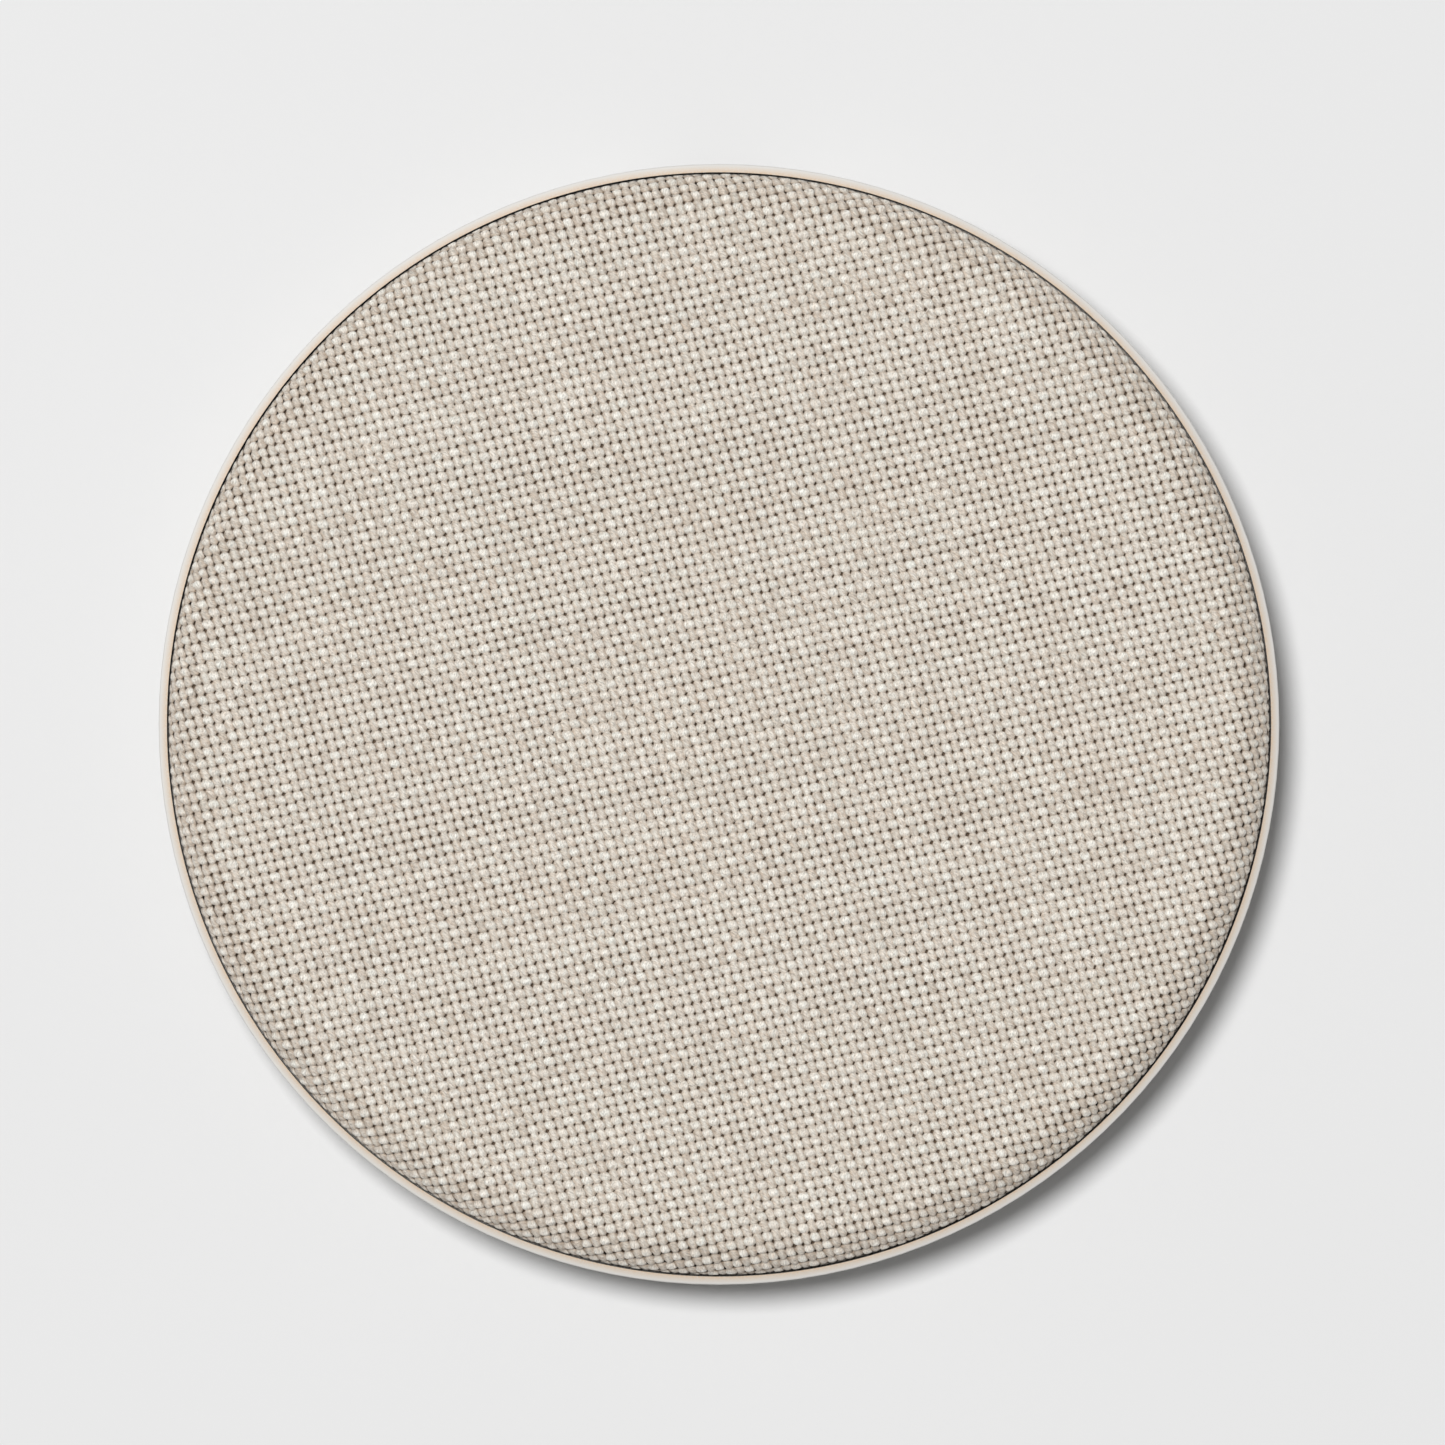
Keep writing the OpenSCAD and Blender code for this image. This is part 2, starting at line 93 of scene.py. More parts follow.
# How close the fibres' grain is, along a yarn and round it
FIBRE_ALONG = 5.0
FIBRE_ROUND = 4.2
# Heights above the middle of the cloth between which a yarn goes from painted crevice shade to its own colour
CREVICE_LOW = -0.04 * MM
CREVICE_HIGH = 0.40 * MM
# Painted shade in the gap at the rim: how much tone is left at its foot, and how far up it reaches
GAP_SHADE = 0.15
GAP_DEPTH = 0.35 * MM
# The rim: its pale outer line, and how far down its tone reaches before the shell's own
RIM_PALE_W = 0.14 * MM
RIM_TONE_H = 0.6 * MM


# ---------------------------------------------------------------- meshes

def mesh_piece(name, points, faces, material, smooth=True):
    """An object with these points and these faces, which all have the same number of corners."""
    faces = np.asarray(faces, np.int32)
    mesh = bpy.data.meshes.new(name)
    mesh.vertices.add(len(points))
    mesh.vertices.foreach_set("co", np.asarray(points, np.float32).ravel())
    mesh.loops.add(faces.size)
    mesh.loops.foreach_set("vertex_index", faces.ravel())
    mesh.polygons.add(len(faces))
    mesh.polygons.foreach_set("loop_start", np.arange(len(faces), dtype=np.int32) * faces.shape[1])
    mesh.update(calc_edges=True)
    mesh.polygons.foreach_set("use_smooth", np.full(len(faces), smooth))
    mesh.materials.append(material)
    piece = bpy.data.objects.new(name, mesh)
    bpy.context.scene.collection.objects.link(piece)
    return piece


def add_values(piece, name, kind, values):
    """Stores one value for each point of the piece, for its material to read."""
    layer = piece.data.attributes.new(name, kind, "POINT")
    layer.data.foreach_set("value" if kind == "FLOAT" else "vector", np.asarray(values, np.float32).ravel())


def lathe(name, profile, sides, material):
    """A closed outline of (radius, height) points turned about Z."""
    turn = np.linspace(0, 2 * math.pi, sides, endpoint=False)
    profile = np.asarray(profile, float)
    count = len(profile)
    points = np.stack([
        np.outer(np.cos(turn), profile[:, 0]),
        np.outer(np.sin(turn), profile[:, 0]),
        np.tile(profile[:, 1], (sides, 1)),
    ], axis=-1).reshape(-1, 3)
    across, along = np.meshgrid(np.arange(sides), np.arange(count), indexing="ij")
    a = across * count + along
    b = (across + 1) % sides * count + along
    c = (across + 1) % sides * count + (along + 1) % count
    d = across * count + (along + 1) % count
    return mesh_piece(name, points, np.stack([a, b, c, d], axis=-1).reshape(-1, 4), material)


# ---------------------------------------------------------------- materials

def shader(name):
    """A new material's node tree and its Principled shader."""
    material = bpy.data.materials.new(name)
    material.use_nodes = True
    return material, material.node_tree, material.node_tree.nodes["Principled BSDF"]


def add(tree, kind, settings=None, **inputs):
    """A node with settings on itself, and values or links on its inputs, named with _ for a space."""
    node = tree.nodes.new(kind)
    for key, value in (settings or {}).items():
        setattr(node, key, value)
    for key, value in inputs.items():
        plug(tree, node.inputs[key.replace("_", " ")], value)
    return node


def plug(tree, socket, value):
    if isinstance(value, bpy.types.NodeSocket):
        tree.links.new(value, socket)
    else:
        socket.default_value = value


def math_node(tree, operation, a, b):
    node = tree.nodes.new("ShaderNodeMath")
    node.operation = operation
    plug(tree, node.inputs[0], a)
    plug(tree, node.inputs[1], b)
    return node.outputs[0]


def mix_colour(tree, factor, a, b, blend="MIX"):
    node = tree.nodes.new("ShaderNodeMix")
    node.data_type = "RGBA"
    node.blend_type = blend
    plug(tree, node.inputs[0], factor)
    plug(tree, node.inputs[6], a)
    plug(tree, node.inputs[7], b)
    return node.outputs[2]


def scaled(tree, value, low, high):
    """A value from 0 to 1 taken to low to high."""
    node = add(tree, "ShaderNodeMapRange", Value=value)
    node.inputs["To Min"].default_value = low
    node.inputs["To Max"].default_value = high
    return node.outputs[0]


def ramp(tree, value, start, end):
    """From 0 where the value is start to 1 where it is end, and flat past both."""
    node = add(tree, "ShaderNodeMapRange", Value=value)
    node.inputs["From Min"].default_value = start
    node.inputs["From Max"].default_value = end
    return node.outputs[0]


def noise(tree, scale, detail=3.0, vector=None, roughness=0.55):
    node = add(tree, "ShaderNodeTexNoise", Scale=scale, Detail=detail, Roughness=roughness)
    if vector is None:
        vector = tree.nodes.new("ShaderNodeTexCoord").outputs["Object"]
    plug(tree, node.inputs["Vector"], vector)
    return node.outputs["Fac"]


def stretched(tree, x, y, z):
    """Object coordinates scaled apart, for a grain that runs one way."""
    place = tree.nodes.new("ShaderNodeTexCoord").outputs["Object"]
    return add(tree, "ShaderNodeMapping", Vector=place, Scale=(x, y, z)).outputs[0]


def bump(tree, height, distance, strength=1.0):
    node = add(tree, "ShaderNodeBump", Strength=strength, Distance=distance, Height=height)
    return node.outputs[0]


def rgba(colour):
    return (*colour, 1.0)


def grained(name, colour, tint, roughness, grain=(900, 900, 900), mottle=90, depth=0.01, metallic=0.0):
    """A surface whose colour drifts towards tint, with a fine grain in its colour, roughness and height.

    grain is the number of grains in a metre along each axis, mottle the number of patches in a metre,
    depth the grain's height in millimetres, and roughness its least and its most."""
    material, tree, main = shader(name)
    fine = noise(tree, 1.0, 4.0, stretched(tree, *grain))
    patches = noise(tree, mottle, 3.0)
    fine_part = math_node(tree, "MULTIPLY", fine, 0.6)
    both = math_node(tree, "ADD", fine_part, math_node(tree, "MULTIPLY", patches, 0.4))
    drift = scaled(tree, both, -0.5, 1.5)
    plug(tree, main.inputs["Base Color"], mix_colour(tree, drift, rgba(colour), rgba(tint)))
    plug(tree, main.inputs["Roughness"], scaled(tree, both, *roughness))
    plug(tree, main.inputs["Normal"], bump(tree, fine, depth * MM))
    main.inputs["Metallic"].default_value = metallic
    return material


def base_plastic():
    """Satin moulded plastic with a pale rim, warmer by the cloth, a darker shell below, and painted shade
    inside the rim's mouth.
    """
    material, tree, main = shader("base_plastic")
    place = tree.nodes.new("ShaderNodeTexCoord").outputs["Object"]
    level = add(tree, "ShaderNodeVectorMath", {"operation": "MULTIPLY"})
    plug(tree, level.inputs[0], place)
    level.inputs[1].default_value = (1, 1, 0)
    reach = add(tree, "ShaderNodeVectorMath", {"operation": "LENGTH"})
    plug(tree, reach.inputs[0], level.outputs[0])
    inwards = ramp(tree, reach.outputs["Value"], rim_r - RIM_PALE_W, mouth_r)
    drift = noise(tree, 240, 4.0)
    warm = mix_colour(tree, drift, rgba((0.69, 0.515, 0.35)), rgba((0.73, 0.56, 0.40)))
    plain = mix_colour(tree, drift, rgba((0.74, 0.72, 0.685)), rgba((0.78, 0.76, 0.725)))
    shell = mix_colour(tree, drift, rgba((0.44, 0.42, 0.385)), rgba((0.49, 0.47, 0.435)))
    height = add(tree, "ShaderNodeSeparateXYZ", Vector=place).outputs["Z"]
    on_rim = ramp(tree, height, rim_z - RIM_TONE_H, rim_z - RIM_TONE_H / 2)
    rim = mix_colour(tree, inwards, plain, warm)
    body = mix_colour(tree, on_rim, shell, rim)
    # Painted shade: the plastic inside the rim's mouth, above the seat, is near black
    inside = math_node(tree, "LESS_THAN", reach.outputs["Value"], mouth_r + 0.01 * MM)
    above_seat = math_node(tree, "GREATER_THAN", height, seat_z - 0.1 * MM)
    painted_gap_shade = math_node(tree, "MULTIPLY", inside, above_seat)
    body = mix_colour(tree, painted_gap_shade, body, rgba((0.085, 0.065, 0.05)))
    fleck = noise(tree, 9000, 2.0)
    body = mix_colour(tree, scaled(tree, fleck, -1.0, 1.3), body, rgba((0.74, 0.725, 0.69)))
    plug(tree, main.inputs["Base Color"], body)
    grain = noise(tree, 6500, 3.0)
    plug(tree, main.inputs["Roughness"], scaled(tree, grain, 0.38, 0.62))
    plug(tree, main.inputs["Normal"], bump(tree, grain, 0.012 * MM, 0.5))
    return material


def yarn_material(name, cream, tan, grey, crevice_shade):
    """Heathered spun yarn: fibres along it, colours that drift from float to float, and painted shade in its
    crevices, on the roll and at the foot of the gap at the rim.
    """
    material, tree, main = shader(name)
    melange_and_gap_shade = add(tree, "ShaderNodeAttribute", {"attribute_name": "melange_and_gap_shade"})
    part = add(tree, "ShaderNodeSeparateXYZ", Vector=melange_and_gap_shade.outputs["Vector"])
    fibre = add(tree, "ShaderNodeAttribute", {"attribute_name": "fibre"})
    fine = noise(tree, 1.0, 3.0, fibre.outputs["Vector"], 0.6)
    coarse = noise(tree, 0.35, 2.0, fibre.outputs["Vector"])
    colour = mix_colour(tree, part.outputs["X"], rgba(cream), rgba(tan))
    colour = mix_colour(tree, part.outputs["Y"], colour, rgba(grey))
    colour = mix_colour(tree, scaled(tree, coarse, -0.9, 1.4), colour, rgba(tan))
    shade = scaled(tree, fine, 0.10, 1.92)
    shade = math_node(tree, "MULTIPLY", shade, part.outputs["Z"])
    # Painted shade: a yarn's colour goes towards the crevice shade colour where it lies low in the cloth or
    # on the roll
    unshaded_share = add(tree, "ShaderNodeAttribute", {"attribute_name": "unshaded_share"})
    colour = mix_colour(tree, scaled(tree, unshaded_share.outputs["Fac"], 0.90, 0.0), colour, rgba(crevice_shade))
    tone = add(tree, "ShaderNodeCombineColor", Red=shade, Green=shade, Blue=shade)
    plug(tree, main.inputs["Base Color"], mix_colour(tree, 1.0, colour, tone.outputs[0], "MULTIPLY"))
    plug(tree, main.inputs["Roughness"], scaled(tree, fine, 0.62, 0.86))
    plug(tree, main.inputs["Normal"], bump(tree, fine, 0.05 * MM, 0.8))
    main.inputs["Sheen Weight"].default_value = 0.20
    main.inputs["Sheen Roughness"].default_value = 0.45
    main.inputs["Specular IOR Level"].default_value = 0.35
    return material


def circuit_laminate():
    """Green solder mask over copper tracks, which show as faint ridges."""
    material, tree, main = shader("board_laminate")
    place = tree.nodes.new("ShaderNodeTexCoord").outputs["Object"]
    tracks = add(tree, "ShaderNodeTexBrick", {"offset": 0.37, "squash": 0.6}, Vector=place, Scale=260.0)
    tracks.inputs["Mortar Size"].default_value = 0.035
    tracks.inputs["Mortar Smooth"].default_value = 0.25
    mask = mix_colour(tree, noise(tree, 300), rgba((0.018, 0.115, 0.055)), rgba((0.03, 0.17, 0.08)))
    ridge = math_node(tree, "MULTIPLY", tracks.outputs["Fac"], 0.7)
    mask = mix_colour(tree, ridge, mask, rgba((0.07, 0.28, 0.13)))
    plug(tree, main.inputs["Base Color"], mask)
    plug(tree, main.inputs["Roughness"], scaled(tree, noise(tree, 2500), 0.22, 0.42))
    plug(tree, main.inputs["Normal"], bump(tree, tracks.outputs["Fac"], 0.03 * MM))
    return material


def open_foam():
    """Open-cell black foam, with painted shade in its pores."""
    material, tree, main = shader("foam")
    place = tree.nodes.new("ShaderNodeTexCoord").outputs["Object"]
    cells = add(tree, "ShaderNodeTexVoronoi", Vector=place, Scale=1900.0)
    # Painted shade: darker towards the middle of each pore
    pore = scaled(tree, cells.outputs["Distance"], -0.2, 1.6)
    black = mix_colour(tree, pore, rgba((0.012, 0.012, 0.013)), rgba((0.075, 0.075, 0.08)))
    plug(tree, main.inputs["Base Color"], black)
    plug(tree, main.inputs["Roughness"], scaled(tree, pore, 0.8, 0.98))
    plug(tree, main.inputs["Normal"], bump(tree, pore, 0.12 * MM))
    return material


def frosted_clear():
    """Clear plastic with a matt skin, which lets some light through."""
    material, tree, main = shader("clear_plastic")
    grain = noise(tree, 3000)
    clear = mix_colour(tree, grain, rgba((0.78, 0.80, 0.82)), rgba((0.88, 0.90, 0.92)))
    plug(tree, main.inputs["Base Color"], clear)
    plug(tree, main.inputs["Roughness"], scaled(tree, grain, 0.18, 0.34))
    plug(tree, main.inputs["Normal"], bump(tree, grain, 0.006 * MM))
    main.inputs["Transmission Weight"].default_value = 0.35
    main.inputs["IOR"].default_value = 1.49
    return material


# ---------------------------------------------------------------- cloth

# Turn from level to upright over the roll, and the length of cloth it takes to get there
roll_turns = np.linspace(0, math.pi / 2, 241)
roll_steps = np.hypot(
    np.diff(np.sin(roll_turns)) * (ROLL_W - MIDDLE_DEPTH),
    np.diff(np.cos(roll_turns)) * (ROLL_H - MIDDLE_DEPTH))
roll_lengths = np.concatenate([[0], np.cumsum(roll_steps)])
roll_length = roll_lengths[-1]


def over_cap(x, y, lift):
    """Where points (x, y) of the flat cloth go over the cap, lift metres out from the cloth's middle."""
    reach = np.hypot(x, y)
    past = np.clip(reach - flat_r, 0, None)
    turn = np.interp(past, roll_lengths, roll_turns)
    drop = np.clip(past - roll_length, 0, None)
    squeezed = np.sin(turn) ** 8
    out = lift * (1 - SIDE_FLATTENS * squeezed) + SIDE_FILL * squeezed - MIDDLE_DEPTH
    radius = np.minimum(reach, flat_r) + (ROLL_W + out) * np.sin(turn)
    height = roll_z + (ROLL_H + out) * np.cos(turn) - drop
    radius = np.minimum(radius, mouth_r - MOUTH_GAP)
    share = radius / np.maximum(reach, 1e-9)
    return np.stack([x * share, y * share, height], axis=-1)


def wander(x, y):
    """The slow drift of the weave from straight lines, in waves of 20 to 45 mm, which both sets share."""
    return (
        WANDER * (np.sin(x * 165 + 1.3) + 0.6 * np.sin(y * 290 + 0.4)),
        WANDER * (np.sin(y * 140 + 2.1) + 0.6 * np.sin(x * 310 + 5.0)),
    )


def cell_values(table, index, at):
    """Values of one row of the table, at fractional places along it, eased from cell to cell."""
    row = table[index % table.shape[0]]
    low = np.floor(at).astype(int)
    ease = eased(at - low)
    return row[low % len(row)] * (1 - ease) + row[(low + 1) % len(row)] * ease


def varied(draws, mean, by_yarn, by_cell, table, low, high):
    """A table of values round a mean, which differ from yarn to yarn and from cell to cell."""
    values = draws.normal(mean, by_yarn, (table[0], 1)) + draws.normal(0, by_cell, table)
    return np.clip(values, low, high)


def unit_vector(degrees):
    return np.array([math.cos(math.radians(degrees)), math.sin(math.radians(degrees))])


def eased(part):
    """0 to 1 with a slow start and a slow end."""
    return part * part * (3 - 2 * part)


def yarn_set(yarns, other, cut_r, draws, material):
    """All the yarns of one set, as closed tubes in a few pieces of neighbouring yarns."""
    across = unit_vector(yarns["angle"])
    crossing = unit_vector(other["angle"])
    along = np.array([-across[1], across[0]])
    per_step = float(along @ crossing) / other["pitch"]
    cells = int(2 * cut_r / other["pitch"]) + 4
    count = 2 * int(cut_r / yarns["pitch"]) + 1
    table = (count, cells)
    size = draws.normal(1.0, 0.035, (count, 1)) * draws.normal(1.0, 0.045, table)
    rise = draws.normal(1.0, 0.055, table)
    slip = draws.normal(0.0, 0.022 * MM, table)
    warmth = varied(draws, yarns["warmth"], 0.07, 0.07, table, 0, 1)
    coolness = varied(draws, 0.10, 0.05, 0.08, table, 0, 0.8)
    value = varied(draws, 1.0, 0.015, 0.015, table, 0.9, 1.04)
    sides = len(SECTION)
    around_x = np.sign(np.cos(SECTION)) * np.abs(np.cos(SECTION)) ** SQUARENESS
    around_z = np.sign(np.sin(SECTION)) * np.abs(np.sin(SECTION)) ** SQUARENESS
    bands = [[] for _ in range(YARN_BANDS)]
    for k in range(count):
        i = k - count // 2
        offset = i * yarns["pitch"]
        half = math.sqrt(max(cut_r * cut_r - offset * offset, 0))
        if half < 1.5 * other["pitch"]:
            continue
        rings = int(2 * half * abs(per_step) * RINGS_PER_PITCH)
        s = np.linspace(-half, half, rings)
        centre = across * offset + np.outer(s, along)
        beta = centre @ crossing / other["pitch"]
        wave = np.cos(math.pi * (beta + i + yarns["phase"]))
        bow = np.sign(wave) * np.abs(wave) ** yarns["fullness"]
        lift = yarns["lift"] * bow * cell_values(rise, k, beta)
        over = np.clip(wave, 0, 1)
        swell = yarns["waist"] + (1 - yarns["waist"]) * eased(np.clip(over / SWELL_BY, 0, 1))
        width = yarns["width"] * swell * cell_values(size, k, beta)
        thick = yarns["thick"] * (0.86 + 0.14 * over) * cell_values(size, k, beta + 0.5)
        drift_x, drift_y = wander(centre[:, 0], centre[:, 1])
        side = cell_values(slip, k, beta)
        side += yarns["lean"] * np.sin(math.pi * (beta + i + yarns["phase"]))
        flat_x = centre[:, 0] + drift_x + side * across[0]
        flat_y = centre[:, 1] + drift_y + side * across[1]
        opened = np.clip((np.hypot(flat_x, flat_y) - flat_r) / (0.35 * roll_length), 0, 1)
        width *= 1 - BEND_OPENS * opened
        x = flat_x[:, None] + np.outer(width / 2, around_x) * across[0]
        y = flat_y[:, None] + np.outer(width / 2, around_x) * across[1]
        up = lift[:, None] + np.outer(thick / 2, around_z)
        points = over_cap(x, y, up).reshape(-1, 3)
        tint = np.stack([cell_values(t, k, beta) for t in (warmth, coolness, value)], axis=-1)
        tint = np.repeat(tint, sides, axis=0)
        # Painted shade: the yarns' tone falls towards the foot of the gap at the rim
        out_of_gap = np.clip((points[:, 2] - roll_z) / GAP_DEPTH, 0, 1)
        tint[:, 2] *= GAP_SHADE + (1 - GAP_SHADE) * out_of_gap
        # Painted shade: the lower a yarn lies, and the further onto the roll, the more crevice shade it takes
        out_of_crevice_shade = (up - CREVICE_LOW) / (CREVICE_HIGH - CREVICE_LOW)
        unshaded_share = np.clip(out_of_crevice_shade - BEND_PAINTED_SHADE * opened[:, None], 0, 1)
        turned = SECTION[None, :] + s[:, None] / MM * TWIST
        fibre = np.stack([
            np.broadcast_to(s[:, None] / MM * FIBRE_ALONG + k * 7.3, turned.shape),
            np.cos(turned) * FIBRE_ROUND + k * 3.7,
            np.sin(turned) * FIBRE_ROUND,
        ], axis=-1)
        bands[min(k * YARN_BANDS // count, YARN_BANDS - 1)].append(
            (points, tint, fibre.reshape(-1, 3), unshaded_share.ravel(), rings))
    pieces = []
    for number, band in enumerate(bands):
        faces, start = [], 0
        for points, _, _, _, rings in band:
            faces.append(tube_faces(rings, sides) + start)
            start += len(points)
        name = f"{yarns['name']}_yarns_{number + 1}"
        piece = mesh_piece(name, np.vstack([b[0] for b in band]), np.vstack(faces), material)
        open_out(piece, [b[4] for b in band], sides)
        add_values(piece, "melange_and_gap_shade", "FLOAT_VECTOR", np.vstack([b[1] for b in band]))
        add_values(piece, "fibre", "FLOAT_VECTOR", np.vstack([b[2] for b in band]))
        add_values(piece, "unshaded_share", "FLOAT", np.concatenate([b[3] for b in band]))
        pieces.append(piece)
    return pieces


def tube_faces(rings, sides):
    """Four-cornered faces of a closed tube, with each end filled by a strip."""
    ring, place = np.meshgrid(np.arange(rings - 1), np.arange(sides), indexing="ij")
    following = (place + 1) % sides
    wall = np.stack([
        ring * sides + place, ring * sides + following,
        (ring + 1) * sides + following, (ring + 1) * sides + place,
    ], axis=-1).reshape(-1, 4)
    strip = [(k, sides - 1 - k, sides - 2 - k, k + 1) for k in range((sides - 1) // 2)]
    last = (rings - 1) * sides
    near = np.array(strip)
    far = np.array([corners[::-1] for corners in strip]) + last
    return np.vstack([wall, near, far])


def open_out(piece, ring_counts, sides):
    """Opens each tube of the piece out flat, into a row of its texture map with the two ends beside it."""
    rows = []
    for row, rings in enumerate(ring_counts):
        ring, place = np.meshgrid(np.arange(rings - 1), np.arange(sides), indexing="ij")
        wall = map_boxes(
            END_ROOM + (1 - 2 * END_ROOM) * ring / (rings - 1), place / sides,
            (1 - 2 * END_ROOM) / (rings - 1), 1 / sides)
        strips = (sides - 1) // 2
        near = map_boxes(
            np.full(strips, 0.1 * END_ROOM), np.arange(strips) / strips,
            0.8 * END_ROOM, 1 / strips)
        far = near + (1 - END_ROOM, 0)
        boxes = np.vstack([wall, near, far])
        boxes[:, 1] = (row + 0.04 + 0.92 * boxes[:, 1]) / len(ring_counts)
        rows.append(boxes)
    layer = piece.data.uv_layers.new(name="OFBake")
    layer.uv.foreach_set("vector", np.vstack(rows).astype(np.float32).ravel())


def map_boxes(left, low, width, height):
    """The corners of boxes of one size on a texture map, in the order in which a tube's faces go round."""
    left, low = np.ravel(left), np.ravel(low)
    right, high = left + width, low + height
    return np.stack([left, low, left, high, right, high, right, low], axis=-1).reshape(-1, 2)


def arc(centre_r, centre_z, width, height, start, end, steps):
    """Points (radius, height) of an arc of an ellipse between two angles in degrees, with 90 upwards."""
    return [
        (centre_r + width * math.cos(math.radians(a)), centre_z + height * math.sin(math.radians(a)))
        for a in np.linspace(start, end, steps)
    ]


def dark_ground_sheet(material):
    """A thin dark sheet under the yarns, over the face, down the side and turned under, coloured like the
    shade seen through the weave's holes.
    """
    thin = 0.08 * MM
    hem_in_r = cloth_r - HEM_W
    low_r = cloth_t - BACKING_DEPTH
    corner_r, corner_z = cloth_r - cloth_t, seat_z + cloth_t
    under = BACKING_DEPTH + thin
    outer = [(0.02 * MM, face_z - BACKING_DEPTH)]
    outer += [(r, face_z - BACKING_DEPTH) for r in np.linspace(0.1, 0.9, 5) * flat_r]
    outer += arc(flat_r, roll_z, ROLL_W - BACKING_DEPTH, ROLL_H - BACKING_DEPTH, 90, 0, 14)
    outer += arc(corner_r, corner_z, low_r, low_r, 0, -90, 6)
    outer += [(hem_in_r, corner_z - low_r)]
    inner = [(hem_in_r, corner_z - low_r + thin)]
    inner += arc(corner_r, corner_z, low_r - thin, low_r - thin, -90, 0, 6)
    inner += arc(flat_r, roll_z, ROLL_W - under, ROLL_H - under, 0, 90, 14)
    inner += [(0.02 * MM, face_z - under)]
    return lathe("painted_shade_ground", outer + inner, 160, material)


def stray_fibres(material):
    """Loose fibre ends lying on the cloth, each a thin curved hair."""
    curl = np.random.default_rng(11)
    steps, sides = 7, 4
    corner = np.radians(np.arange(sides) * 90 + 45)
    hump = 0.50 + 0.10 * np.sin(np.linspace(0, math.pi, steps))
    points, faces, tints, fibres = [], [], [], []
    for k in range(STRAY_COUNT):
        reach = (cloth_r - 1.5 * MM) * math.sqrt(curl.random())
        place, heading = curl.uniform(0, 2 * math.pi, 2)
        x, y = reach * math.cos(place), reach * math.sin(place)
        length = curl.uniform(0.7, 2.4) * MM
        bend = curl.normal(0, 0.35, steps).cumsum()
        thick = curl.uniform(0.010, 0.020) * MM
        along = np.stack([np.cos(heading + bend), np.sin(heading + bend)], axis=-1) * length / steps
        path = np.array([x, y]) + along.cumsum(axis=0)
        rise = hump * MM + curl.normal(0, 0.01 * MM, steps)
        beside = np.stack([-along[:, 1], along[:, 0]], axis=-1) * steps / length
        flat = path[:, None, :] + beside[:, None, :] * np.cos(corner)[None, :, None] * thick
        lift = rise[:, None] + np.sin(corner)[None, :] * thick
        points.append(over_cap(flat[..., 0], flat[..., 1], lift).reshape(-1, 3))
        faces.append(tube_faces(steps, sides) + k * steps * sides)
        tints.append(np.tile([curl.uniform(0, 0.7), 0, curl.uniform(0.85, 1.15)], (steps * sides, 1)))
        fibres.append(points[-1] / MM * 2)
    piece = mesh_piece("stray_fibres", np.vstack(points), np.vstack(faces), material)
    add_values(piece, "melange_and_gap_shade", "FLOAT_VECTOR", np.vstack(tints))
    add_values(piece, "fibre", "FLOAT_VECTOR", np.vstack(fibres))
    add_values(piece, "unshaded_share", "FLOAT", np.ones(len(piece.data.vertices)))
    return piece


# ---------------------------------------------------------------- the object


def dress(node, material):
    """Gives a CAD node this material in place of its own."""
    slots = nodes[node].data.materials
    slots.clear()
    slots.append(material)


plastic = base_plastic()
film = grained("adhesive_film", (0.66, 0.62, 0.50), (0.74, 0.71, 0.60), (0.25, 0.45), depth=0.004)
silicone = grained(
    "foot_silicone", (0.245, 0.215, 0.18), (0.30, 0.27, 0.23), (0.68, 0.9), (2600, 2600, 2600), 120, 0.02)
label = grained(
    "label_film", (0.50, 0.455, 0.40), (0.56, 0.51, 0.45), (0.45, 0.6), (3500, 3500, 3500), 60, 0.006)
carrier = grained(
    "carrier_plastic", (0.50, 0.47, 0.42), (0.56, 0.53, 0.48), (0.5, 0.7), (1800, 1800, 1800), 70, 0.012)
zinc = grained(
    "screw_steel", (0.55, 0.55, 0.56), (0.68, 0.67, 0.64), (0.24, 0.42), (900, 900, 6000), 300, 0.004, 1.0)
copper = grained(
    "coil_copper", (0.60, 0.24, 0.10), (0.80, 0.40, 0.18), (0.26, 0.46), (5200, 5200, 5200), 500, 0.03, 0.85)
lead = grained(
    "lead_enamel", (0.30, 0.075, 0.03), (0.42, 0.13, 0.05), (0.20, 0.34), (3000, 1500, 3000), 400, 0.01, 0.4)
ferrite = grained(
    "ferrite", (0.022, 0.022, 0.024), (0.045, 0.044, 0.045), (0.55, 0.8), (3000, 3000, 3000), 150, 0.02)
epoxy = grained(
    "sensor_epoxy", (0.015, 0.015, 0.016), (0.03, 0.03, 0.032), (0.15, 0.3), depth=0.005)
nickel = grained(
    "inlet_steel", (0.56, 0.55, 0.53), (0.66, 0.65, 0.62), (0.22, 0.36), (1500, 9000, 1500), 260, 0.003, 1.0)
polymer = grained(
    "inlet_plastic", (0.012, 0.012, 0.013), (0.022, 0.022, 0.024), (0.4, 0.6), (4000, 4000, 4000), 300, 0.006)
gold = grained(
    "contact_gold", (0.78, 0.50, 0.16), (0.88, 0.62, 0.26), (0.2, 0.34), (3000, 9000, 3000), 600, 0.002, 1.0)
chip = grained(
    "chip_epoxy", (0.018, 0.018, 0.020), (0.032, 0.032, 0.034), (0.45, 0.65), (6000, 6000, 6000), 250, 0.008)
ceramic = grained(
    "capacitor_body", (0.30, 0.18, 0.10), (0.38, 0.25, 0.15), (0.35, 0.55), (5000, 5000, 5000), 900, 0.008)
led = grained(
    "led_lens", (0.72, 0.70, 0.52), (0.80, 0.79, 0.66), (0.12, 0.25), (2500, 2500, 2500), 700, 0.004)

